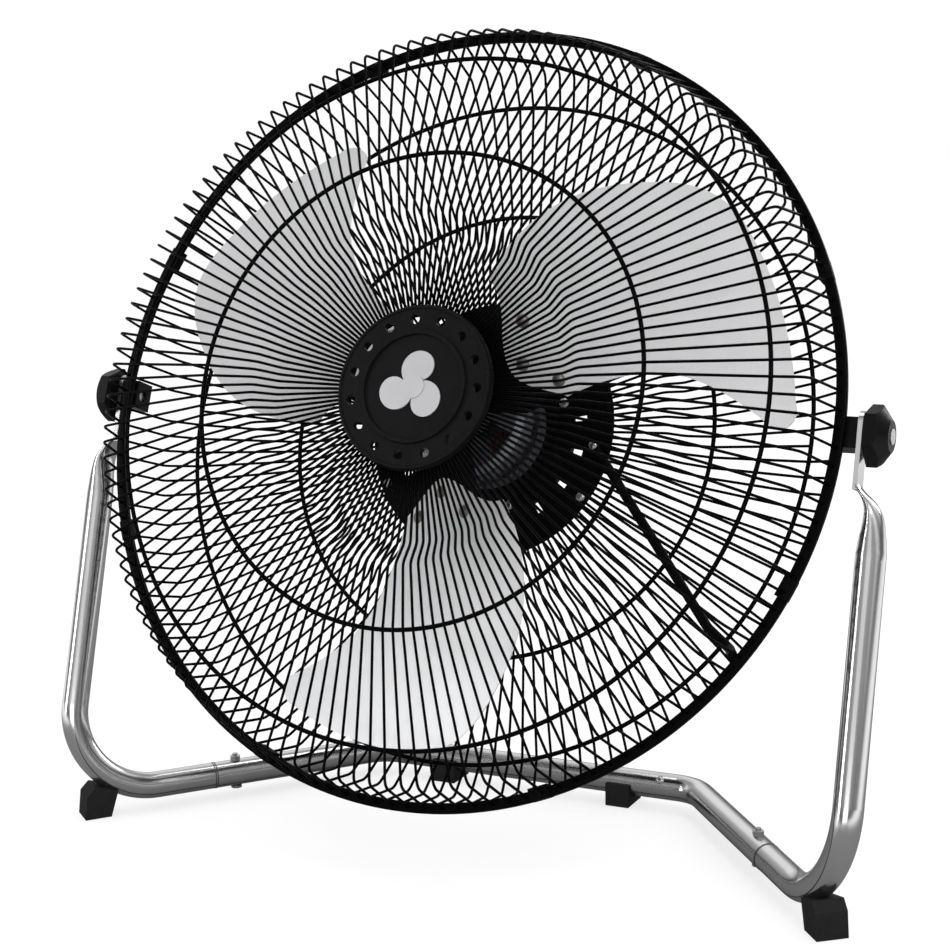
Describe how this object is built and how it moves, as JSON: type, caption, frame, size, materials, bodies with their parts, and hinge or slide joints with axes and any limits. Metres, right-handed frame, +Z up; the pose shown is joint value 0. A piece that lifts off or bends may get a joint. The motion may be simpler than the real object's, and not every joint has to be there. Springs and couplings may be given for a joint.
{
  "type": "tilting floor fan",
  "caption": "Tilting round high-velocity floor fan: wire-caged axial blades and motor on a bent chrome tube stand with side clamping knobs.",
  "frame": {"origin": "centre of the whole object on the floor, midway between its front and back extents", "axes": "+Z up, the fan blows towards -Y, +X along the pivot line to the right of someone facing the fan"},
  "size_m": [0.588, 0.2666, 0.5501],
  "materials": {
    "chrome_tube": "polished",
    "steel": "satin",
    "rubber": "matte",
    "black_wire": "gloss",
    "black_plastic": "satin",
    "silver": "satin",
    "black_metal": "satin",
    "motor_metal": "matte",
    "copper": "satin",
    "grey_plastic": "matte",
    "blade_metal": "satin"
  },
  "bodies": {
    "stand": {"side_tube_left": "chrome_tube", "side_tube_right": "chrome_tube", "rear_tube": "chrome_tube", "joint_sleeve_left": "steel", "joint_sleeve_right": "steel", "joint_screw_left": "steel", "joint_screw_right": "steel", "front_foot_left": "rubber", "front_foot_right": "rubber", "rear_foot_left": "rubber", "rear_foot_right": "rubber"},
    "head": {"badge_disc": "black_plastic", "badge_emblem": "silver", "badge_retainer": "black_plastic", "brace_rod": "black_metal", "capacitor": "black_plastic", "cord_gland": "rubber", "front_guard": "black_wire", "guard_rim": "black_wire", "motor_bell_front": "motor_metal", "motor_bell_rear": "motor_metal", "motor_fins": "motor_metal", "motor_plate": "black_metal", "pivot_bracket_left": "black_plastic", "pivot_bracket_right": "black_plastic", "pivot_stud_left": "steel", "pivot_stud_right": "steel", "rear_cover": "black_plastic", "rear_guard": "black_wire", "stator_core": "steel", "switch_body": "grey_plastic", "winding_front": "copper", "winding_rear": "copper"},
    "fan": {"shaft": "steel", "rotor": "steel", "spider": "black_metal", "blade_1": "blade_metal", "blade_2": "blade_metal", "blade_3": "blade_metal", "rivets_1": "steel", "rivets_2": "steel", "rivets_3": "steel"},
    "knob_left_body": {"knob_left": "black_plastic", "knob_insert_left": "silver"},
    "knob_right_body": {"knob_right": "black_plastic", "knob_insert_right": "silver"},
    "speed_knob_body": {"speed_knob": "black_plastic"}
  },
  "joints": [
    {"name": "head_tilt", "type": "hinge", "parent": "stand", "child": "head", "pos_m": [0, 0.0072, 0.2975], "axis": [1, 0, 0], "range_deg": [-68, 32]},
    {"name": "fan_spin", "type": "hinge", "parent": "head", "child": "fan", "pos_m": [0, -0.00393, 0.302], "axis": [0, -0.9272, 0.3746], "continuous": true},
    {"name": "knob_left_turn", "type": "hinge", "parent": "head", "child": "knob_left_body", "pos_m": [-0.28, 0.0072, 0.2975], "axis": [-1, 0, 0], "range_deg": [0, 360]},
    {"name": "knob_right_turn", "type": "hinge", "parent": "head", "child": "knob_right_body", "pos_m": [0.28, 0.0072, 0.2975], "axis": [1, 0, 0], "range_deg": [0, 360]},
    {"name": "speed_select", "type": "hinge", "parent": "head", "child": "speed_knob_body", "pos_m": [0, 0.08351, 0.26667], "axis": [0, 0.9272, -0.3746], "range_deg": [0, 135]}
  ]
}
